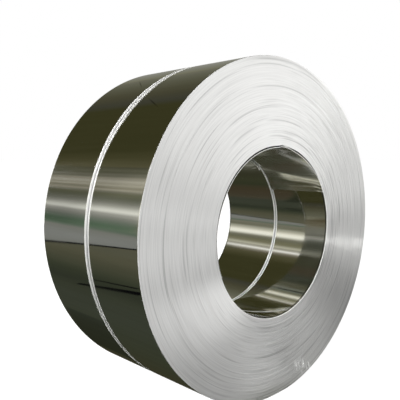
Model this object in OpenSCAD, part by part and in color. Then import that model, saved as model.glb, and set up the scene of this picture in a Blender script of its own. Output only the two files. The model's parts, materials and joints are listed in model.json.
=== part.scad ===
// Two slit coils of aluminium foil strip, wound tight and pushed together on one axis.
// The pair lies on its rolling surface with the axis level, along Y.
// Origin: on the floor, under the middle of the pair. +Z is up, and the front coil faces -Y.

/* [Coils] */
// Diameter over the outermost turn of both coils
outer_d = 1008; // [800:2:1200]
// Diameter of the bore that the strip was wound on
bore_d = 508; // [406:2:610]
// Width of the strip in the front coil
front_width = 219; // [120:1:400]
// Width of the strip in the rear coil
rear_width = 231; // [120:1:400]

/* [Turns on the end faces] */
// Radial depth of one group of turns that slipped sideways together
group_depth = 7; // [5:1:20]
// Furthest that a group of turns sits back from the end face
group_setback = 0.9; // [0.2:0.1:2]
// Break on the sharp edges of the outer and inner turns
edge_break = 1.5; // [0.5:0.5:3]

/* [Meeting edges] */
// Width of the worn edge on the outer turns, beside the joint between the coils
outer_roll_width = 13; // [6:1:24]
// Width of the same worn edge on the inner turns
bore_roll_width = 9; // [4:1:20]
// Drop of the worn edges at the joint
roll_drop = 3; // [1:0.5:6]

/* [Loose inner turns] */
// Thickness of the inner turns that sprang loose
loose_thick = 1.5; // [1:0.1:3]
// Widest gap behind the loose turns
loose_gap = 4; // [2:0.5:8]
// Direction of that widest gap, clockwise from the top as seen from the front
loose_angle = -12; // [-40:1:20]
// Place of the strip's inner end in the front coil, clockwise from the top
front_tail = 60; // [40:1:75]
// Place of the strip's inner end in the rear coil, clockwise from the top
rear_tail = 43; // [30:1:70]

/* [Hidden] */
$fn = 180;
outer_r = outer_d / 2;
bore_r = bore_d / 2;
pair_width = front_width + rear_width;
group_count = floor((outer_r - bore_r - 2 * roll_drop - 2) / group_depth);
group_start = (outer_r + bore_r - group_count * group_depth) / 2;
golden_turn = 137.5;
roll_steps = 6;
tail_sweep = 70;

// Setback of one group of turns. Every third group lies flush with the end face.
function setback(i) = i % 3 == 0 ? 0 : group_setback * (0.55 + 0.45 * sin(i * golden_turn));

// Points [radius, height] across an end face at height 0, from the bore outwards.
// side is 1 for a face that looks up and -1 for a face that looks down.
function face_points(side) = [
    for (i = [0:group_count - 1])
        for (edge = [0, 1])
            [group_start + (i + edge) * group_depth, -side * setback(i)]
];

// Points along a worn edge, as [distance below the surface, distance from the joint].
// It leaves the surface smoothly and rounds over steeply at the joint.
function roll_points(width) = [
    for (k = [0:roll_steps])
        let (turn = 90 * k / roll_steps)
            [roll_drop * pow(1 - cos(turn), 1.5), width * (1 - sin(turn))]
];

function reversed(points) = [for (i = [len(points) - 1:-1:0]) points[i]];

// Half section of one coil. The free end is at height 0 and the joint is at height width.
function coil_section(width) = concat(
    [[bore_r, edge_break], [bore_r + edge_break, 0]],
    face_points(-1),
    [[outer_r - edge_break, 0], [outer_r, edge_break]],
    [for (p = roll_points(outer_roll_width)) [outer_r - p[0], width - p[1]]],
    reversed([for (p = face_points(1)) [p[0], p[1] + width]]),
    reversed([for (p = roll_points(bore_roll_width)) [bore_r + p[0], width - p[1]]])
);

// Gap behind the loose inner turns, and the step that their end leaves in the bore.
module loose_gap_outline(tail) {
    turn_r = bore_r + loose_thick;
    reach = 2 * turn_r;
    difference() {
        rotate(-loose_angle)
            translate([0, loose_gap])
                circle(r = turn_r);
        difference() {
            circle(r = turn_r);
            polygon([
                [0, 0],
                reach * [sin(tail), cos(tail)],
                reach * [sin(tail + tail_sweep), cos(tail + tail_sweep)]
            ]);
        }
    }
}

// One coil about the Z axis, with its free end at height 0.
module coil(width, tail) {
    difference() {
        rotate_extrude()
            polygon(coil_section(width));
        translate([0, 0, -1])
            linear_extrude(width + 2)
                loose_gap_outline(tail);
    }
}

// Seen along the axis from the front, the coil's top stays up and its right stays right.
module front_coil() {
    color("gainsboro")
        translate([0, -pair_width / 2, outer_r])
            rotate([90, 0, 0])
                mirror([0, 0, 1])
                    coil(front_width, front_tail);
}

module rear_coil() {
    color("silver")
        translate([0, pair_width / 2, outer_r])
            rotate([90, 0, 0])
                coil(rear_width, rear_tail);
}

front_coil();
rear_coil();
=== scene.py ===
"""Two slit coils of aluminium foil strip, side by side on one axis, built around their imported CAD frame."""
import json
import math
import random

import bpy
from mathutils import Matrix, Vector

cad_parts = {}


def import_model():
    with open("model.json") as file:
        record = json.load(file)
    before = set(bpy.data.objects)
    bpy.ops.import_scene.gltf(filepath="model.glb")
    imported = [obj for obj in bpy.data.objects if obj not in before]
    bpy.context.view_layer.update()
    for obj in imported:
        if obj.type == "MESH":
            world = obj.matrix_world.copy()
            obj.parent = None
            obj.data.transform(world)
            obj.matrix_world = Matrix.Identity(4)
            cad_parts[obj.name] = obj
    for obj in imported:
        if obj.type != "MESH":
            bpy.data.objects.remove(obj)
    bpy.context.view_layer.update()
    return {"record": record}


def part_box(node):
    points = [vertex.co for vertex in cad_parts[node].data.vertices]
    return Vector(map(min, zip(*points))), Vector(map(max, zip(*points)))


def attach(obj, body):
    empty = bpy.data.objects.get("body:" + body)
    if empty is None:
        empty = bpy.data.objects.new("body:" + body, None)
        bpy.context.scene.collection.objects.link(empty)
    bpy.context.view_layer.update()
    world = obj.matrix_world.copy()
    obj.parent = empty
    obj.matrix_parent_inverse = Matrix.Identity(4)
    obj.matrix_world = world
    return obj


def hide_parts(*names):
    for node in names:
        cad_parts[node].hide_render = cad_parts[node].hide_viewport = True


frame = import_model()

FRONT_LOW, FRONT_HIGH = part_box("front_coil")
REAR_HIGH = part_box("rear_coil")[1]
MOUNTS = {m["name"]: m for m in frame["record"]["mounts"]}

MM = 0.001
OUTER_R = (FRONT_HIGH.x - FRONT_LOW.x) / 2
BORE_R = MOUNTS["mandrel_bore"]["dims"]["r_mm"] * MM
AXIS_Z = (FRONT_HIGH.z + FRONT_LOW.z) / 2
JOINT_Y = FRONT_HIGH.y

# Steps round a coil.
AROUND = 256

# The turns on an end face lie between these circles. Beyond them are the rims of the bore and of the outside.
FACE_INNER_R = BORE_R + 2.4 * MM
FACE_OUTER_R = OUTER_R - 1.4 * MM

# Worn edges at the joint: how wide they roll over, and how much of that is rubbed white.
OUTER_ROLL = 13 * MM
BORE_ROLL = 9 * MM
ROLL_DROP = 3 * MM
OUTER_RUB = 9 * MM
BORE_RUB = 7.5 * MM

# Order of the finishes on a coil.
FOIL, SLIT, WORN, GAP = range(4)

# The room that the metal mirrors, in metres. Behind FRONT_Y is the hall, and before it is the front light.
FRONT_Y = -0.26
WALL_X = 12.0
WALL_START = 0.4
ROOF_Z = 12.0
HALL_END = 75.0
MAT_END = 2.87
DOME_R = 17.0

# Heights of the cards that lie on the floor: each higher one hides what is under it.
FLOOR_CARD_Z = 0.003
WORN_CARD_Z = 0.005
MARK_CARD_Z = 0.006


def linear(hex_colour):
    """An sRGB hex colour as linear red, green, blue and alpha."""
    channels = [int(hex_colour[i:i + 2], 16) / 255 for i in (1, 3, 5)]
    return [c / 12.92 if c <= 0.04045 else ((c + 0.055) / 1.055) ** 2.4 for c in channels] + [1.0]


def add_node(tree, kind, settings=None, links=None):
    """Adds a node, sets its properties or input sockets, and links its inputs."""
    node = tree.nodes.new(kind)
    for name, value in (settings or {}).items():
        if isinstance(name, int) or name in node.inputs:
            node.inputs[name].default_value = value
        elif name == "stops":
            set_stops(node, value)
        else:
            setattr(node, name, value)
    for name, source in (links or {}).items():
        tree.links.new(source, node.inputs[name])
    return node


def set_stops(ramp, stops):
    """Gives a colour ramp its stops, as pairs of place and hex colour or grey level."""
    elements = ramp.color_ramp.elements
    while len(elements) > 1:
        elements.remove(elements[-1])
    for i, (place, colour) in enumerate(stops):
        element = elements[0] if i == 0 else elements.new(place)
        element.position = place
        element.color = linear(colour) if isinstance(colour, str) else (colour, colour, colour, 1.0)


def new_material(name):
    """An empty material with nodes, and its node tree."""
    material = bpy.data.materials.new(name)
    material.use_nodes = True
    material.node_tree.nodes.clear()
    return material, material.node_tree


# ---------------------------------------------------------------- modelling

def select_only(piece):
    """Selects one piece and makes it active."""
    bpy.ops.object.select_all(action="DESELECT")
    piece.select_set(True)
    bpy.context.view_layer.objects.active = piece


def start_from_point(name, place):
    """Starts a piece, in edit mode, from a small plane merged to one point at a place."""
    bpy.ops.object.select_all(action="DESELECT")
    bpy.ops.mesh.primitive_plane_add(size=0.01)
    piece = bpy.context.object
    piece.name = piece.data.name = name
    bpy.ops.object.mode_set(mode="EDIT")
    bpy.ops.mesh.select_all(action="SELECT")
    bpy.ops.mesh.merge(type="CENTER")
    bpy.ops.transform.translate(value=place)
    return piece


def extrude_along(places):
    """Draws the line on from the selected point, through each place in turn."""
    for here, there in zip(places, places[1:]):
        bpy.ops.mesh.extrude_vertices_move(TRANSFORM_OT_translate={"value": there - here})


def spin_round(steps, angle):
    """Spins all of the open mesh about the coil's axis."""
    bpy.ops.mesh.select_all(action="SELECT")
    bpy.ops.mesh.spin(steps=steps, angle=angle, center=(0, 0, AXIS_Z), axis=(0, 1, 0))


def close_mesh():
    """Merges what meets, turns every face outwards and leaves edit mode."""
    bpy.ops.mesh.select_all(action="SELECT")
    bpy.ops.mesh.remove_doubles(threshold=1e-6)
    bpy.ops.mesh.normals_make_consistent(inside=False)
    bpy.ops.object.mode_set(mode="OBJECT")


def ride_in_place_of(piece, node):
    """Makes a piece ride on the one body, in place of a CAD node, which is hidden."""
    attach(piece, "root")
    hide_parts(node)


def section_point(r, y):
    """A place in the coil's half section, above the axis."""
    return Vector((0, y, AXIS_Z + r))


def off_axis(place):
    """Distance of a place from the coil's axis."""
    return math.hypot(place.x, place.z - AXIS_Z)


def clock(place):
    """Degrees clockwise from the top, seen from the front, from -180 to 180."""
    return math.degrees(math.atan2(place.x, place.z - AXIS_Z))


def move_outwards(vertex, distance):
    """Moves a vertex straight away from the coil's axis."""
    away = Vector((vertex.co.x, 0, vertex.co.z - AXIS_Z)).normalized()
    vertex.co += away * distance


def blend_between(marks, x):
    """A smooth curve through marks, given as pairs of place and value in order of place."""
    if x <= marks[0][0]:
        return marks[0][1]
    for (x0, v0), (x1, v1) in zip(marks, marks[1:]):
        if x <= x1:
            t = (x - x0) / (x1 - x0)
            return v0 + (v1 - v0) * t * t * (3 - 2 * t)
    return marks[-1][1]


def hump(x, middle, width):
    """A smooth hump, 1 at its middle."""
    return math.exp(-((x - middle) / width) ** 2)


def fade(distance, reach):
    """1 at no distance, falling straight to 0 at reach and beyond."""
    return max(0.0, 1 - distance / reach)


def shingled_end(free_y, inward, seed):
    """Points across a free end, from the bore outwards, as pairs of radius and place along the axis.

    Each group of turns leans back outwards like a shingle, and stands a little in or out of its neighbours.
    """
    draw = random.Random(seed)
    lean = 0.13
    widths_in_mm = (1.3, 3.1)
    slips_in_mm = (-0.12, 0.30)
    deepest = 0.6 * MM
    least_left = 0.6 * MM
    thinnest = 1.0 * MM
    deep_rings = (332 * MM, 431 * MM)
    deep_width = 2.2 * MM
    deep_step = 0.5 * MM
    points = []
    r = FACE_INNER_R
    setback = 0.0
    while r < FACE_OUTER_R - least_left:
        width = draw.uniform(*widths_in_mm) * MM
        slip = draw.uniform(*slips_in_mm) * MM
        setback = min(max(0.55 * setback + slip, 0.0), deepest)
        deep = any(r <= ring < r + width for ring in deep_rings)
        if deep:
            width = deep_width
        if FACE_OUTER_R - (r + width) < thinnest:
            width = FACE_OUTER_R - r
        start = setback + (deep_step if deep else 0.0)
        points += [(r, free_y + inward * start), (r + width, free_y + inward * (start + lean * width))]
        r += width
    return points


def worn_edge(inward, width):
    """Points along a rolled edge at the joint: pairs of drop below the surface and place along the axis."""
    steps = 8
    points = []
    for k in range(steps + 1):
        turn = math.pi / 2 * k / steps
        drop = ROLL_DROP * (1 - math.cos(turn)) ** 1.5
        points.append((drop, JOINT_Y + inward * width * (1 - math.sin(turn))))
    return points


def level_line(r, start, end):
    """Points along a level surface. Those near its ends keep the shading level up to them."""
    steps = 8
    near = 1.2 * MM if end > start else -1.2 * MM
    return [(r, start + near + (end - start - 2 * near) * k / steps) for k in range(steps + 1)]


# The rim of the bore at a free end, as millimetres out from the bore and in from the end: the bore, a gap
# behind the innermost turn, whose edge lies deeper than the rest, with the gap painted dark as its shadow,
# and the worn edge of the next turns.
BORE_RIM = [(0, 7.4), (0.3, 7.1), (2.0, 6.3), (1.0, 4.8), (0.9, 1.6), (1.3, 0.7)]

# The rim of the outside at a free end, as millimetres in from the outside and in from the last turn.
OUTER_RIM = [(0.4, 0.4), (0, 1.6)]


def coil_section(free_y, seed):
    """The closed half section of one coil, as places above the axis."""
    inward = 1 if free_y < JOINT_Y else -1
    end = shingled_end(free_y, inward, seed)
    outer_edge = worn_edge(-inward, OUTER_ROLL)
    bore_edge = worn_edge(-inward, BORE_ROLL)
    section = [(BORE_R + out * MM, free_y + inward * deep * MM) for out, deep in BORE_RIM]
    section += end
    section += [(OUTER_R - under * MM, end[-1][1] + inward * deep * MM) for under, deep in OUTER_RIM]
    section += level_line(OUTER_R, section[-1][1], outer_edge[0][1])
    section += [(OUTER_R - drop, y) for drop, y in outer_edge]
    section += [(BORE_R + drop, y) for drop, y in reversed(bore_edge)]
    section += level_line(BORE_R, bore_edge[0][1], section[0][1])
    section.append(section[0])
    return [section_point(r, y) for r, y in section]


def kink_bore(piece, free_y):
    """Dents the top of the bore outwards at its free end, where a turn was knocked."""
    height = 3.2 * MM
    middle, width = 3, 1.6
    turns_deep = 14 * MM
    reach_in = 70 * MM
    for v in piece.data.vertices:
        around = hump(clock(v.co), middle, width) * fade(off_axis(v.co) - BORE_R, turns_deep)
        along = fade(abs(v.co.y - free_y), reach_in)
        if around * along > 0.001:
            move_outwards(v, height * around * along)


def coil_finish(place, free_y):
    """The finish of one of a coil's faces, from where its middle is."""
    end_depth = 3.2 * MM
    rim_depth = 1.5 * MM
    gap_front, gap_back, gap_out = 4.5 * MM, 7.3 * MM, 3 * MM
    outermost = 4 * MM
    margin = 0.1 * MM
    r = off_axis(place)
    from_joint = abs(place.y - JOINT_Y)
    from_end = abs(place.y - free_y)
    on_end_face = FACE_INNER_R - margin < r < FACE_OUTER_R + margin
    if from_end < end_depth and on_end_face:
        return SLIT
    if from_end < rim_depth and not on_end_face:
        return WORN
    # Painted shadow: the gap behind the innermost turn takes the near-black finish.
    if gap_front < from_end < gap_back and BORE_R + margin < r < BORE_R + gap_out:
        return GAP
    if from_joint < (OUTER_RUB if r > OUTER_R - outermost else BORE_RUB):
        return WORN
    return FOIL


def coil_turns(name, free_y, seed, finishes):
    """The wound turns of one coil: its half section drawn point by point, then spun about the axis."""
    places = coil_section(free_y, seed)
    piece = start_from_point(name, places[0])
    extrude_along(places)
    spin_round(AROUND, math.tau)
    close_mesh()
    if free_y < JOINT_Y:
        kink_bore(piece, free_y)
    select_only(piece)
    bpy.ops.object.shade_smooth_by_angle(angle=math.radians(28))
    for finish in finishes:
        piece.data.materials.append(finish)
    for face in piece.data.polygons:
        face.material_index = coil_finish(face.center, free_y)
    return piece


def inner_turn(name, free_y, bow, tilt, lip, fold, ripple, finish):
    """The slack innermost turn: a line along the bore, spun from the left side over the top to the lip.

    lip is the strip's cut end, as a clock angle. The other values are in millimetres off the bore: bow by
    clock angle, tilt as how much further off the free edge is than the other edge near the lip, fold as how
    far the lip itself bends, and ripple as the height of a wave that runs aslant just before it.
    """
    inward = 1 if free_y < JOINT_Y else -1
    end_setback, joint_setback = 0.8 * MM, 2.5 * MM
    start_y = free_y + inward * end_setback
    end_y = JOINT_Y - inward * joint_setback
    first = -112
    steps = 28
    steps_a_degree = 2
    tilt_start = 12
    slant, slant_bend = 14, 4
    ripple_before_lip, ripple_width = 6, 10
    corner_turn, corner_depth, corner_height = 7, 0.10, 2.6
    wave_round, wave_deep = 2.1, 38
    fold_turn = 5
    least_off = 0.05

    x = BORE_R * math.sin(math.radians(first))
    z = AXIS_Z + BORE_R * math.cos(math.radians(first))
    line = [Vector((x, start_y + (end_y - start_y) * k / steps, z)) for k in range(steps + 1)]
    piece = start_from_point(name, line[0])
    extrude_along(line)
    spin_round((lip - first) * steps_a_degree, math.radians(first - lip))
    bpy.ops.mesh.select_all(action="SELECT")
    bpy.ops.mesh.remove_doubles(threshold=1e-6)
    bpy.ops.object.mode_set(mode="OBJECT")

    for v in piece.data.vertices:
        angle = clock(v.co)
        depth = abs(v.co.y - start_y) / abs(end_y - start_y)
        near_lip = max(0.0, (angle - tilt_start) / (lip - tilt_start))
        aslant = angle + slant * depth - slant_bend * depth * depth
        corner = fade(lip - angle, corner_turn) * (fade(depth, corner_depth) + fade(1 - depth, corner_depth))
        off = blend_between(bow, angle)
        off += tilt * near_lip * (0.5 - depth)
        off += ripple * hump(aslant, lip - ripple_before_lip, ripple_width)
        off += corner_height * corner * math.sin(angle * wave_round + depth * wave_deep)
        off += fold * fade(lip - angle, fold_turn)
        move_outwards(v, -max(off, least_off) * MM)

    select_only(piece)
    bpy.ops.object.modifier_add(type="SOLIDIFY")
    solidify = piece.modifiers[-1]
    solidify.thickness = 1.6 * MM
    solidify.offset = 0
    bpy.ops.object.modifier_apply(modifier=solidify.name)
    bpy.ops.object.mode_set(mode="EDIT")
    close_mesh()
    bpy.ops.object.shade_smooth_by_angle(angle=math.radians(40))
    piece.data.materials.append(finish)
    return piece


# ---------------------------------------------------------------- materials

def centred_coordinates(tree):
    """Object coordinates centred on the coil's axis."""
    place = add_node(tree, "ShaderNodeTexCoord")
    return add_node(tree, "ShaderNodeMapping", {"Location": (0, 0, -AXIS_Z)},
                    {"Vector": place.outputs["Object"]}).outputs[0]


def polar_coordinates(tree):
    """Centred coordinates, the distance from the axis, and the direction out from it."""
    centred = centred_coordinates(tree)
    flat = add_node(tree, "ShaderNodeVectorMath", {"operation": "MULTIPLY", 1: (1, 0, 1)}, {0: centred})
    radius = add_node(tree, "ShaderNodeVectorMath", {"operation": "LENGTH"}, {0: flat.outputs[0]})
    ray = add_node(tree, "ShaderNodeVectorMath", {"operation": "NORMALIZE"}, {0: flat.outputs[0]})
    return centred, radius.outputs["Value"], ray.outputs[0]


def polar_noise(tree, radius, ray, around, across, detail, roughness=0.55):
    """Seamless noise drawn out into arcs round the axis.

    around is how many of its waves go to a radian of arc, and across is how many go to a metre of radius.
    """
    turned = add_node(tree, "ShaderNodeVectorMath", {"operation": "SCALE", "Scale": around}, {0: ray})
    step = add_node(tree, "ShaderNodeMath", {"operation": "MULTIPLY", 1: across}, {0: radius})
    out = add_node(tree, "ShaderNodeCombineXYZ", links={"Y": step.outputs[0]})
    place = add_node(tree, "ShaderNodeVectorMath", {"operation": "ADD"},
                     {0: turned.outputs[0], 1: out.outputs[0]})
    noise = add_node(tree, "ShaderNodeTexNoise", {"Scale": 1.0, "Detail": detail, "Roughness": roughness},
                     {"Vector": place.outputs[0]})
    return noise.outputs[0]


def bore_to_outside(tree, radius, in_bore, outside):
    """One value in the bore and another on the outside of a coil."""
    well_inside = 50 * MM
    value = add_node(tree, "ShaderNodeMapRange",
                     {"From Min": BORE_R + well_inside, "From Max": OUTER_R - well_inside,
                      "To Min": in_bore, "To Max": outside}, {"Value": radius})
    return value.outputs[0]


def from_axis(angle, r, y):
    """A place in centred coordinates, from its clock angle, its radius and its place along the axis."""
    a = math.radians(angle)
    return Vector((r * math.sin(a), y, r * math.cos(a)))


def ball_mask(tree, centred, middle, turn, half_sizes):
    """1 at the middle of a turned ellipsoid, fading to 0 at its skin."""
    local = add_node(tree, "ShaderNodeMapping",
                     {"vector_type": "TEXTURE", "Location": middle, "Rotation": turn, "Scale": half_sizes},
                     {"Vector": centred})
    ball = add_node(tree, "ShaderNodeTexGradient", {"gradient_type": "SPHERICAL"},
                    {"Vector": local.outputs[0]})
    return ball.outputs["Fac"]


def patch_mask(tree, centred, angle, r, turn, half_length, half_width):
    """A long spot on the front end face, at a clock angle and radius. turn is its tilt off the circle."""
    half_depth = 60 * MM
    middle = from_axis(angle, r, FRONT_LOW.y)
    return ball_mask(tree, centred, middle, (0, math.radians(angle + turn), 0),
                     (half_length, half_depth, half_width))


def dark_line_mask(tree, centred, ends):
    """1 along a straight mark on a coil's outside, fading to 0 beside it and at its ends.

    ends are two points, each as the clock angle and the place along the axis.
    """
    half_width = 3 * MM
    half_depth = 50 * MM
    start, end = [from_axis(angle, OUTER_R, y) for angle, y in ends]
    middle = (start + end) / 2
    along = (end - start).normalized()
    out = Vector((middle.x, 0, middle.z)).normalized()
    axes = Matrix((along, out.cross(along), out)).transposed()
    half_sizes = ((end - start).length / 2, half_width, half_depth)
    return ball_mask(tree, centred, middle, axes.to_euler(), half_sizes)


def beside_joint(tree, centred):
    """How far a place is behind the joint between the coils, negative before it, and its distance from it."""
    axes = add_node(tree, "ShaderNodeSeparateXYZ", links={0: centred})
    behind = add_node(tree, "ShaderNodeMath", {"operation": "SUBTRACT", 1: JOINT_Y}, {0: axes.outputs["Y"]})
    distance = add_node(tree, "ShaderNodeMath", {"operation": "ABSOLUTE"}, {0: behind.outputs[0]})
    return behind.outputs[0], distance.outputs[0]


def rubbed_edge(tree, centred, radius, ray):
    """1 beside the worn edges on the outside, fading away from them.

    The front coil is rubbed widest at its upper left.
    """
    reach, widest_reach = 12.5 * MM, 26 * MM
    widest, full_turn, no_turn = (math.radians(angle) for angle in (-30, 8, 34))
    behind, distance = beside_joint(tree, centred)
    toward = add_node(tree, "ShaderNodeVectorMath",
                      {"operation": "DOT_PRODUCT", 1: (math.sin(widest), 0, math.cos(widest))}, {0: ray})
    upper_left = add_node(tree, "ShaderNodeMapRange",
                          {"From Min": math.cos(no_turn), "From Max": math.cos(full_turn)},
                          {"Value": toward.outputs["Value"]})
    on_front = add_node(tree, "ShaderNodeMapRange",
                        {"From Min": -1 * MM, "From Max": 0.0, "To Min": 1.0, "To Max": 0.0},
                        {"Value": behind})
    wider = add_node(tree, "ShaderNodeMath", {"operation": "MULTIPLY"},
                     {0: upper_left.outputs[0], 1: on_front.outputs[0]})
    reach_here = add_node(tree, "ShaderNodeMapRange", {"To Min": reach, "To Max": widest_reach},
                          {"Value": wider.outputs[0]})
    near = add_node(tree, "ShaderNodeMapRange", {"From Max": OUTER_RUB},
                    {"Value": distance, "From Min": reach_here.outputs[0]})
    rubbed = add_node(tree, "ShaderNodeMath", {"operation": "MULTIPLY"},
                      {0: near.outputs[0], 1: bore_to_outside(tree, radius, 0.0, 1.0)})
    return rubbed.outputs[0]


def rolled_foil(name, bright, dull, metallic):
    """Bright rolled aluminium foil: a mirror, with faint haze in streaks along the axis and a slight wave.

    The streaks are about 14 mm apart and the waves about 140 mm. bright and dull are the least and the most
    roughness. The slack turns are duller, from handling. Two dark lines are painted across the outside at the
    upper left, and the foil is rubbed pale beside the worn edges.
    """
    dark_lines = (((313, -0.14), (318.5, -0.05)), ((325, 0.035), (333, 0.13)))
    rubbed_metallic, rubbed_rougher = 0.45, 0.3
    material, tree = new_material(name)
    centred, radius, ray = polar_coordinates(tree)
    wave = add_node(tree, "ShaderNodeTexNoise", {"Scale": 7.0, "Detail": 1.0}, {"Vector": centred})
    bump = add_node(tree, "ShaderNodeBump", {"Strength": 0.05, "Distance": 4 * MM},
                    {"Height": wave.outputs[0]})
    streaks = add_node(tree, "ShaderNodeMapping", {"Scale": (70.0, 3.0, 70.0)}, {"Vector": centred})
    haze = add_node(tree, "ShaderNodeTexNoise", {"Scale": 1.0, "Detail": 3.0}, {"Vector": streaks.outputs[0]})
    roughness = add_node(tree, "ShaderNodeMapRange",
                         {"From Min": 0.35, "From Max": 0.7, "To Min": bright, "To Max": dull},
                         {"Value": haze.outputs[0]})
    tone = add_node(tree, "ShaderNodeValToRGB", {"stops": [(0.30, "#eeeeea"), (0.70, "#f6f6f3")]},
                    {0: haze.outputs[0]})
    # Two dark lines painted into the colour across the outside at the upper left.
    first, second = [dark_line_mask(tree, centred, ends) for ends in dark_lines]
    marks = add_node(tree, "ShaderNodeMath", {"operation": "ADD"}, {0: first, 1: second})
    marked = add_node(tree, "ShaderNodeMix", {"data_type": "RGBA", 7: linear("#8a877c")},
                      {0: marks.outputs[0], 6: tone.outputs[0]})
    rubbed = rubbed_edge(tree, centred, radius, ray)
    metal = add_node(tree, "ShaderNodeMapRange", {"To Min": metallic, "To Max": rubbed_metallic},
                     {"Value": rubbed})
    rough = add_node(tree, "ShaderNodeMath", {"operation": "MULTIPLY_ADD", 1: rubbed_rougher},
                     {0: rubbed, 2: roughness.outputs[0]})
    shader = add_node(tree, "ShaderNodeBsdfPrincipled",
                      links={"Base Color": marked.outputs[2], "Metallic": metal.outputs[0],
                             "Roughness": rough.outputs[0], "Normal": bump.outputs[0]})
    add_node(tree, "ShaderNodeOutputMaterial", links={"Surface": shader.outputs[0]})
    return material


def slit_edges():
    """The slit edges of many turns side by side: satin, with fine arcs round the axis.

    The real arcs are one foil apart, about 0.03 mm, so here they are drawn 3 to 4 mm apart to show. Low on
    the right of the front face, the outer turns are scuffed.
    """
    material, tree = new_material("slit_foil_edges")
    centred, radius, ray = polar_coordinates(tree)
    tangent = add_node(tree, "ShaderNodeVectorMath", {"operation": "CROSS_PRODUCT", 1: (0, 1, 0)}, {0: ray})
    arcs = polar_noise(tree, radius, ray, around=3.0, across=330.0, detail=1.5, roughness=0.6)
    lines = polar_noise(tree, radius, ray, around=1.6, across=150.0, detail=1.0)
    tone = add_node(tree, "ShaderNodeValToRGB",
                    {"stops": [(0.3, "#e8e8e6"), (0.5, "#f2f2f0"), (0.7, "#fafaf8")]}, {0: arcs})
    shade = add_node(tree, "ShaderNodeValToRGB", {"stops": [(0.28, "#e2e2e2"), (0.42, "#ffffff")]},
                     {0: lines})
    colour = add_node(tree, "ShaderNodeVectorMath", {"operation": "MULTIPLY"},
                      {0: tone.outputs[0], 1: shade.outputs[0]})
    roughness = add_node(tree, "ShaderNodeMapRange",
                         {"From Min": 0.3, "From Max": 0.7, "To Min": 0.32, "To Max": 0.36}, {"Value": arcs})
    satin = add_node(tree, "ShaderNodeBsdfPrincipled",
                     {"Metallic": 1.0, "Anisotropic": 0.96, "Anisotropic Rotation": 0.25},
                     {"Base Color": colour.outputs[0], "Roughness": roughness.outputs[0],
                      "Tangent": tangent.outputs[0]})
    scraped = add_node(tree, "ShaderNodeBsdfPrincipled",
                       {"Base Color": linear("#fbfbf9"), "Metallic": 0.25, "Roughness": 0.45})
    grain = polar_noise(tree, radius, ray, around=55.0, across=22.0, detail=2.0)
    scratches = add_node(tree, "ShaderNodeMapRange", {"From Min": 0.5, "From Max": 0.6, "To Max": 0.9},
                         {"Value": grain})
    patch = patch_mask(tree, centred, angle=164, r=0.93 * OUTER_R, turn=35, half_length=64 * MM,
                       half_width=34 * MM)
    spot = add_node(tree, "ShaderNodeMapRange", {"From Max": 0.5}, {"Value": patch})
    scuff = add_node(tree, "ShaderNodeMath", {"operation": "MULTIPLY"},
                     {0: spot.outputs[0], 1: scratches.outputs[0]})
    mix = add_node(tree, "ShaderNodeMixShader",
                   links={0: scuff.outputs[0], 1: satin.outputs[0], 2: scraped.outputs[0]})
    add_node(tree, "ShaderNodeOutputMaterial", links={"Surface": mix.outputs[0]})
    return material


def worn_foil_with_groove_shade():
    """Foil edges rubbed and rolled over where the coils meet: crinkled, so pale from every side.

    The crinkles run round the coil, about 12 mm apart. The edges are painted darker into the groove at the
    joint, as its shade, and are greyer on the outside than in the bore.
    """
    groove_shade_width = 4 * MM
    material, tree = new_material("worn_foil_edges_with_groove_shade")
    centred, radius = polar_coordinates(tree)[:2]
    distance = beside_joint(tree, centred)[1]
    spread = add_node(tree, "ShaderNodeMapping", {"Scale": (8.0, 80.0, 8.0)}, {"Vector": centred})
    crinkle = add_node(tree, "ShaderNodeTexNoise", {"Scale": 1.0, "Detail": 3.0},
                       {"Vector": spread.outputs[0]})
    bump = add_node(tree, "ShaderNodeBump", {"Strength": 0.05, "Distance": 1.5 * MM},
                    {"Height": crinkle.outputs[0]})
    out_of_painted_groove_shade = add_node(tree, "ShaderNodeMapRange", {"From Max": groove_shade_width}, {"Value": distance})
    # Painted shade: the colour darkens to grey into the groove at the joint.
    tone = add_node(tree, "ShaderNodeValToRGB", {"stops": [(0.1, "#808082"), (0.8, "#f4f4f2")]},
                    {0: out_of_painted_groove_shade.outputs[0]})
    colour = add_node(tree, "ShaderNodeVectorMath", {"operation": "SCALE"},
                      {0: tone.outputs[0], "Scale": bore_to_outside(tree, radius, 1.0, 0.77)})
    shader = add_node(tree, "ShaderNodeBsdfPrincipled", {"Roughness": 0.35},
                      {"Base Color": colour.outputs[0], "Metallic": bore_to_outside(tree, radius, 0.35, 0.45),
                       "Normal": bump.outputs[0]})
    add_node(tree, "ShaderNodeOutputMaterial", links={"Surface": shader.outputs[0]})
    return material


def gap_shadow():
    """The narrow gap behind the innermost turn, painted near black as its shadow."""
    material, tree = new_material("painted_gap_shadow")
    centred = centred_coordinates(tree)
    blotch = add_node(tree, "ShaderNodeTexNoise", {"Scale": 30.0}, {"Vector": centred})
    # Painted shadow, near black and a little blotched.
    tone = add_node(tree, "ShaderNodeValToRGB", {"stops": [(0.4, "#1c1b17"), (0.6, "#34332c")]},
                    {0: blotch.outputs[0]})
    shader = add_node(tree, "ShaderNodeBsdfPrincipled", {"Metallic": 0.6, "Roughness": 0.6},
                      {"Base Color": tone.outputs[0]})
    add_node(tree, "ShaderNodeOutputMaterial", links={"Surface": shader.outputs[0]})
    return material


# ---------------------------------------------------------------- studio

def aim(thing, direction):
    """Points a camera or lamp along a direction."""
    thing.rotation_mode = "QUATERNION"
    thing.rotation_quaternion = direction.to_track_quat("-Z", "Y")


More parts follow.
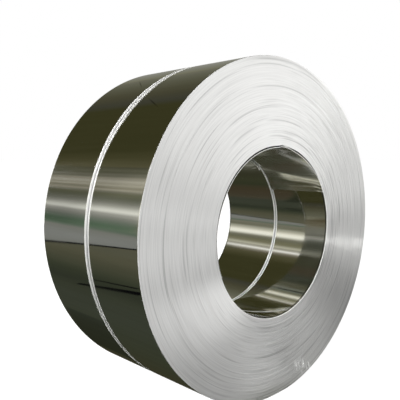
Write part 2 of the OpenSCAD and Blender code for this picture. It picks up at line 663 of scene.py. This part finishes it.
def camera():
    """The camera, placed in outer radii from the middle of the front end face."""
    face_centre = Vector((0, FRONT_LOW.y, AXIS_Z))
    place_in_radii = Vector((-2.3440, -1.8924, 0.4419))
    forward = Vector((0.7187, 0.6813, -0.1389))
    data = bpy.data.cameras.new("camera")
    data.lens = 46.516
    data.shift_x = -0.0944
    data.shift_y = 0.0743
    cam = bpy.data.objects.new("camera", data)
    bpy.context.scene.collection.objects.link(cam)
    cam.location = face_centre + OUTER_R * place_in_radii
    aim(cam, forward)
    bpy.context.scene.camera = cam


def background_ray(tree):
    """1 for the rays that should see the plain white background, else 0."""
    path = add_node(tree, "ShaderNodeLightPath")
    seen = add_node(tree, "ShaderNodeMath", {"operation": "MAXIMUM"},
                    {0: path.outputs["Is Camera Ray"], 1: path.outputs["Is Glossy Ray"]})
    seen = add_node(tree, "ShaderNodeMath", {"operation": "MAXIMUM"},
                    {0: seen.outputs[0], 1: path.outputs["Is Transmission Ray"]})
    return seen.outputs[0]


def floor():
    """A pale floor that keeps the coils' shadow and fades into the white background."""
    material, tree = new_material("studio_floor")
    diffuse = add_node(tree, "ShaderNodeBsdfDiffuse", {"Color": linear("#c4c4c2")})
    glow = add_node(tree, "ShaderNodeEmission", {"Color": (1, 1, 1, 1), "Strength": 1.33})
    share = add_node(tree, "ShaderNodeMath", {"operation": "MULTIPLY", 1: 0.75}, {0: background_ray(tree)})
    mix = add_node(tree, "ShaderNodeMixShader",
                   links={0: share.outputs[0], 1: diffuse.outputs[0], 2: glow.outputs[0]})
    add_node(tree, "ShaderNodeOutputMaterial", links={"Surface": mix.outputs[0]})
    bpy.ops.mesh.primitive_plane_add(size=160)
    plane = bpy.context.object
    plane.name = "studio_floor"
    plane.data.materials.append(material)


def world():
    """A white surround, dimmer as a light than as a background."""
    studio = bpy.data.worlds.new("studio")
    studio.use_nodes = True
    tree = studio.node_tree
    tree.nodes.clear()
    strength = add_node(tree, "ShaderNodeMapRange", {"To Min": 0.2, "To Max": 1.0},
                        {"Value": background_ray(tree)})
    back = add_node(tree, "ShaderNodeBackground", {"Color": (1, 1, 1, 1)}, {"Strength": strength.outputs[0]})
    add_node(tree, "ShaderNodeOutputWorld", links={"Surface": back.outputs[0]})
    bpy.context.scene.world = studio


def reflection_only(card, bands, strength):
    """Makes a stage piece glow in reflections and nowhere else.

    Each band is an axis and the colours at places along it. Two bands are multiplied.
    """
    material, tree = new_material(card.name)
    place = add_node(tree, "ShaderNodeTexCoord")
    axes = add_node(tree, "ShaderNodeSeparateXYZ", links={0: place.outputs["Object"]})
    colour = None
    for axis, stops in bands:
        start, end = stops[0][0], stops[-1][0]
        across = add_node(tree, "ShaderNodeMapRange", {"From Min": start, "From Max": end},
                          {"Value": axes.outputs[axis]})
        ramp = add_node(tree, "ShaderNodeValToRGB",
                        {"stops": [((p - start) / (end - start), c) for p, c in stops]},
                        {0: across.outputs[0]})
        if colour is None:
            colour = ramp.outputs[0]
        else:
            both = add_node(tree, "ShaderNodeVectorMath", {"operation": "MULTIPLY"},
                            {0: colour, 1: ramp.outputs[0]})
            colour = both.outputs[0]
    glow = add_node(tree, "ShaderNodeEmission", {"Strength": strength}, {"Color": colour})
    add_node(tree, "ShaderNodeOutputMaterial", links={"Surface": glow.outputs[0]})
    card.data.materials.append(material)
    card.visible_camera = False
    card.visible_diffuse = False
    card.visible_transmission = False
    card.visible_volume_scatter = False
    card.visible_shadow = False


def reflection_card(name, corners, bands, strength=1.0):
    """A flat stage piece that shows only in reflections."""
    mesh = bpy.data.meshes.new(name)
    mesh.from_pydata([Vector(c) for c in corners], [], [list(range(len(corners)))])
    card = bpy.data.objects.new(name, mesh)
    bpy.context.scene.collection.objects.link(card)
    reflection_only(card, bands, strength)


def flat_card(name, outline, z, bands, strength=1.0):
    """A reflection card that lies level. outline is its corners as pairs of x and y."""
    reflection_card(name, [(x, y, z) for x, y in outline], bands, strength)


def rectangle(low, high):
    """The four corners of a level rectangle."""
    return [(low[0], low[1]), (high[0], low[1]), (high[0], high[1]), (low[0], high[1])]


def wall_corners(x, start, end, top=ROOF_Z):
    """The four corners of a wall along the hall."""
    return [(x, start, 0), (x, end, 0), (x, end, top), (x, start, top)]


def front_dome(bands, strength):
    """A quarter of a large sphere in front of the coils, just above the floor."""
    bpy.ops.object.select_all(action="DESELECT")
    bpy.ops.mesh.primitive_uv_sphere_add(segments=64, ring_count=32, radius=DOME_R)
    card = bpy.context.object
    card.name = "front_dome"
    bpy.ops.object.mode_set(mode="EDIT")
    foot_z = 0.004
    for place, cut_away in (((0, FRONT_Y, 0), (0, 1, 0)), ((0, 0, foot_z), (0, 0, -1))):
        bpy.ops.mesh.select_all(action="SELECT")
        bpy.ops.mesh.bisect(plane_co=place, plane_no=cut_away, clear_outer=True)
    bpy.ops.object.mode_set(mode="OBJECT")
    reflection_only(card, bands, strength)


def hall_walls():
    """The walls and roof of a long dim hall behind the coils, with two rows of windows down its left side.

    The colours of a wall go by height, and those of the roof go across it.
    """
    wall_strength, roof_strength = 0.9, 0.78
    near_end, right_near_end = 15.5, 11.0
    near = [(0.0, "#7b7a6b"), (0.55, "#797868"), (0.95, "#6a6a59"), (1.3, "#7c7c6a"), (1.7, "#a6a695"),
            (2.1, "#bcbaaa"), (2.5, "#d9d6c6"), (2.9, "#f7f5e5"), (3.3, "#fffdf0"), (3.7, "#fbfaeb"),
            (4.1, "#c3c2b3"), (4.55, "#828171"), (5.0, "#727160"), (5.9, "#706f57"), (6.35, "#78755d"),
            (6.85, "#84836b"), (7.3, "#a4a28d"), (7.85, "#c2c0ad"), (8.4, "#949383"), (8.95, "#b1ada1"),
            (9.55, "#fffff7"), (10.2, "#b9b5aa"), (10.85, "#797565"), (11.5, "#686353"), (ROOF_Z, "#5a5642")]
    far = [(0.0, "#5a6e59"), (0.7, "#586b58"), (1.3, "#6e776b"), (1.9, "#8a8b83"), (2.4, "#a0a098"),
           (2.85, "#ecece2"), (3.1, "#dcdcd2"), (3.6, "#a8a89e"), (4.2, "#7c7d72"), (5.0, "#646656"),
           (5.8, "#686954"), (6.2, "#7c7a6c"), (6.55, "#b0ac9a"), (6.8, "#8a8674"), (7.2, "#8c8876"),
           (7.45, "#cac6b4"), (7.7, "#8a8674"), (8.1, "#b4b0a0"), (8.35, "#c4c1b1"), (8.6, "#949080"),
           (9.0, "#a39f8e"), (9.4, "#6f6e5e"), (9.9, "#7c7b6b"), (10.4, "#5e5e4c"), (10.9, "#6e6e5b"),
           (ROOF_Z, "#545341")]
    away = [(near_end, 1.0), (18.5, 1.0), (21.5, 0.72), (HALL_END, 0.65)]
    right = [(0.0, "#73736a"), (1.7, "#6a6a60"), (3.2, "#74746a"), (4.8, "#645f4c"), (6.5, "#5c5640"),
             (8.5, "#544c38"), (ROOF_Z, "#463f2c")]
    right_far = [(0.0, "#8e8e86"), (5.0, "#94948c"), (7.0, "#88887e"), (9.3, "#7e7e72"), (ROOF_Z, "#74735f")]
    roof = [(-WALL_X, "#5f5c44"), (-9.5, "#4d4b32"), (-7.5, "#403f26"), (1.0, "#403f26"), (2.0, "#45453a"),
            (4, "#504e3c"), (6, "#5c5b49"), (8.6, "#6a6a59"), (WALL_X, "#7a796a")]
    reflection_card("hall_wall_near", wall_corners(-WALL_X, WALL_START, near_end), [("Z", near)],
                    wall_strength)
    reflection_card("hall_wall_far", wall_corners(-WALL_X, near_end, HALL_END), [("Z", far), ("Y", away)],
                    wall_strength)
    reflection_card("hall_right_near", wall_corners(WALL_X, WALL_START, right_near_end), [("Z", right)])
    reflection_card("hall_right_far", wall_corners(WALL_X, right_near_end, HALL_END), [("Z", right_far)])
    flat_card("hall_roof", rectangle((-WALL_X, WALL_START), (WALL_X, HALL_END)), ROOF_Z, [("X", roof)],
              roof_strength)


def hall_mat():
    """The dark mat that the coils lie on, its worn and shaded places and marks, and the floor beyond it."""
    strength = 0.78
    edge_left, edge_right, edge_width = -3.2, -1.2, 0.22
    mat = [(-WALL_X, "#566a57"), (-3.0, "#646251"), (-2.0, "#5f5f4f"), (-1.6, "#5d5c4a"), (-1.35, "#555544"),
           (-1.15, "#4c4e3e"), (-1.0, "#3d4233"), (-0.85, "#363a2f"), (-0.75, "#3f4336"), (-0.6, "#42463b"),
           (-0.4, "#3e4233"), (-0.18, "#3d3b29"), (-0.08, "#383c2b"), (0.04, "#40412f"), (0.13, "#38382a"),
           (0.19, "#454537"), (0.26, "#9a9a8e"), (0.31, "#9a9a8d"), (0.40, "#62645a"), (0.64, "#44463a"),
           (0.86, "#3e4234"), (1.05, "#54574c"), (1.3, "#74766e"), (1.65, "#b0b0a8"), (2.3, "#acaca4"),
           (3.4, "#8a8980"), (WALL_X, "#6c6c60")]
    beyond = [(-WALL_X, "#566a57"), (-8.0, "#6c786a"), (-6.0, "#85867f"), (-2.6, "#8a8c88"), (0, "#7a7a70"),
              (WALL_X, "#646458")]
    worn = [(-0.5, "#40443a"), (-0.42, "#4a4638"), (-0.3, "#484133"), (-0.18, "#443d2d"), (-0.1, "#3d3e2e")]
    shade = [(-0.5, "#363a30"), (-0.44, "#303328"), (-0.26, "#2c2e21")]
    black = [("X", [(-WALL_X, "#08080a"), (WALL_X, "#0c0c0d")])]
    worn_outline = [(-0.1, 0.45), (-0.1, 2.6), (-0.5, 2.6), (-0.5, 0.70), (-0.43, 0.62), (-0.28, 0.50)]
    shade_outline = [(-0.26, 0.18), (-0.26, 0.46), (-0.43, 0.61), (-0.5, 0.69), (-0.5, 0.40)]
    smear = [(-0.95, 0.5), (-0.88, 0.5), (-0.775, 0.86), (-0.80, 0.86)]
    scratch = [(-0.99, 0.6), (-0.965, 0.6), (-0.90, 0.9), (-0.915, 0.9)]
    flat_card("hall_mat", rectangle((-WALL_X, FRONT_Y), (WALL_X, MAT_END)), FLOOR_CARD_Z,
              [("X", mat)], strength)
    flat_card("hall_floor", rectangle((-WALL_X, MAT_END), (WALL_X, HALL_END)), FLOOR_CARD_Z,
              [("X", beyond)], strength)
    flat_card("worn_mat", worn_outline, WORN_CARD_Z, [("X", worn)], strength)
    flat_card("mat_shade", shade_outline, WORN_CARD_Z, [("X", shade)], strength)
    flat_card("mat_edge", rectangle((edge_left, MAT_END - edge_width), (edge_right, MAT_END)), MARK_CARD_Z,
              black)
    flat_card("mat_smear", smear, MARK_CARD_Z, black)
    flat_card("mat_scratch", scratch, MARK_CARD_Z, black)


def front_light():
    """What the slit edges mirror: light from the right and from high up, and patches of lit floor."""
    sky_across = [(-DOME_R, 0.55), (-8.5, 0.06), (-3.4, 0.14), (0.9, 0.6), (6, 0.7), (12, 0.84),
                  (DOME_R, 1.0)]
    sky_up = [(0, 0.55), (2.0, 0.60), (6, 1.0), (11, 0.24), (DOME_R, 0.74)]
    front_dome([("X", sky_across), ("Z", sky_up)], strength=1.95)

    floor_left, floor_right = -8, 14
    across = [(floor_left, 0.03), (-1.2, 0.05), (-0.3, 0.85), (0.3, 1.0), (0.6, 0.6), (1.1, 0.15), (2.2, 0.6),
              (floor_right, 0.5)]
    toward = [(-DOME_R, 1.0), (-3, 0.83), (-1.8, 0.55), (-1.3, 0.36), (-0.9, 0.33), (FRONT_Y, 0.17)]
    flat_card("lit_floor", rectangle((floor_left, -DOME_R), (floor_right, FRONT_Y)), FLOOR_CARD_Z,
              [("X", across), ("Y", toward)], strength=2.0)

    sill, lintel = 3.1, 3.7
    near_jamb, far_jamb = (-15.9, -0.6), (-13.9, -8.0)
    window = [(*near_jamb, sill), (*far_jamb, sill), (*far_jamb, lintel), (*near_jamb, lintel)]
    reflection_card("left_window", window, [("Z", [(sill, 1.0), (lintel, 1.0)])], strength=20)

    shade_left, shade_right, shade_y = 0.15, 1.3, -0.72
    flat_card("floor_shade", rectangle((shade_left, shade_y), (shade_right, FRONT_Y)), MARK_CARD_Z,
              [("X", [(shade_left, 0.06), (shade_right, 0.03)])])
    gleam_left, gleam_right, gleam_y = 0.2, 0.8, -1.27
    flat_card("floor_gleam", rectangle((gleam_left, gleam_y), (gleam_right, shade_y)), MARK_CARD_Z,
              [("X", [(gleam_left, 1.0), (gleam_right, 1.0)])], strength=1.9)


def rear_light():
    """What the rear end's slit edges mirror: pale screens behind the coils and to both sides of them."""
    half_width, away, low, high = 2.6, 6.0, 0.1, 2.6
    pale = [("X", [(-away, 1.0), (away, 1.0)])]
    corners = [(-half_width, away, low), (half_width, away, low), (half_width, away, high),
               (-half_width, away, high)]
    reflection_card("rear_screen", corners, pale, strength=1.6)
    for name, x in (("left_screen", -away), ("right_screen", away)):
        reflection_card(name, wall_corners(x, start=0.5, end=2.8, top=6.0), pale, strength=0.8)


def lamp(name, place, target, size, watts):
    """A square soft lamp. The foil doesn't mirror it: the hall and the cards are what it mirrors."""
    data = bpy.data.lights.new(name, "AREA")
    data.size = size
    data.energy = watts
    lamp_object = bpy.data.objects.new(name, data)
    bpy.context.scene.collection.objects.link(lamp_object)
    lamp_object.location = place
    lamp_object.visible_glossy = False
    aim(lamp_object, Vector(target) - Vector(place))


# ---------------------------------------------------------------- scene

camera()
floor()
world()
hall_walls()
hall_mat()
front_light()
rear_light()
lamp("soft_box", (-2.75, -1.5, 4.4), (0, 0, 0.5), size=2.0, watts=235)
lamp("fill", (-3.0, -4.0, 1.5), (0, 0, 0.5), size=1.5, watts=80)
lamp("rear_box", (-2.0, 2.4, 2.7), (0.1, 0, 0.5), size=1.2, watts=130)

tight_foil = rolled_foil("bright_rolled_foil", bright=0.045, dull=0.10, metallic=1.0)
slack_foil = rolled_foil("handled_rolled_foil", bright=0.12, dull=0.20, metallic=0.975)

# In the order of FOIL, SLIT, WORN and GAP.
coil_finishes = [tight_foil, slit_edges(), worn_foil_with_groove_shade(), gap_shadow()]

for name, node, free_y, seed in (
    ("front_coil_turns", "front_coil", FRONT_LOW.y, 11),
    ("rear_coil_turns", "rear_coil", REAR_HIGH.y, 12),
):
    turns = coil_turns(name, free_y, seed, coil_finishes)
    ride_in_place_of(turns, node)

# How far each slack turn bows off the bore: pairs of clock angle and millimetres.
FRONT_BOW = [(-112, 0.1), (-90, 0.4), (-60, 3.0), (-20, 4.0), (-1, 3.4), (3, 0.6), (7, 1.0), (20, 4.5),
             (48, 3.4), (64, 3.4)]
REAR_BOW = [(-112, 0.1), (-90, 0.3), (-60, 2.0), (-10, 3.0), (20, 4.2), (43, 5.5)]

for name, node, free_y, bow, tilt, lip, fold, ripple in (
    ("front_inner_turn", "front_coil", FRONT_LOW.y, FRONT_BOW, 1.6, 64, -1.6, -3.6),
    ("rear_inner_turn", "rear_coil", REAR_HIGH.y, REAR_BOW, -1.0, 43, 1.4, 1.0),
):
    turn = inner_turn(name, free_y, bow, tilt, lip, fold, ripple, slack_foil)
    ride_in_place_of(turn, node)

bpy.context.scene.view_settings.view_transform = "Standard"
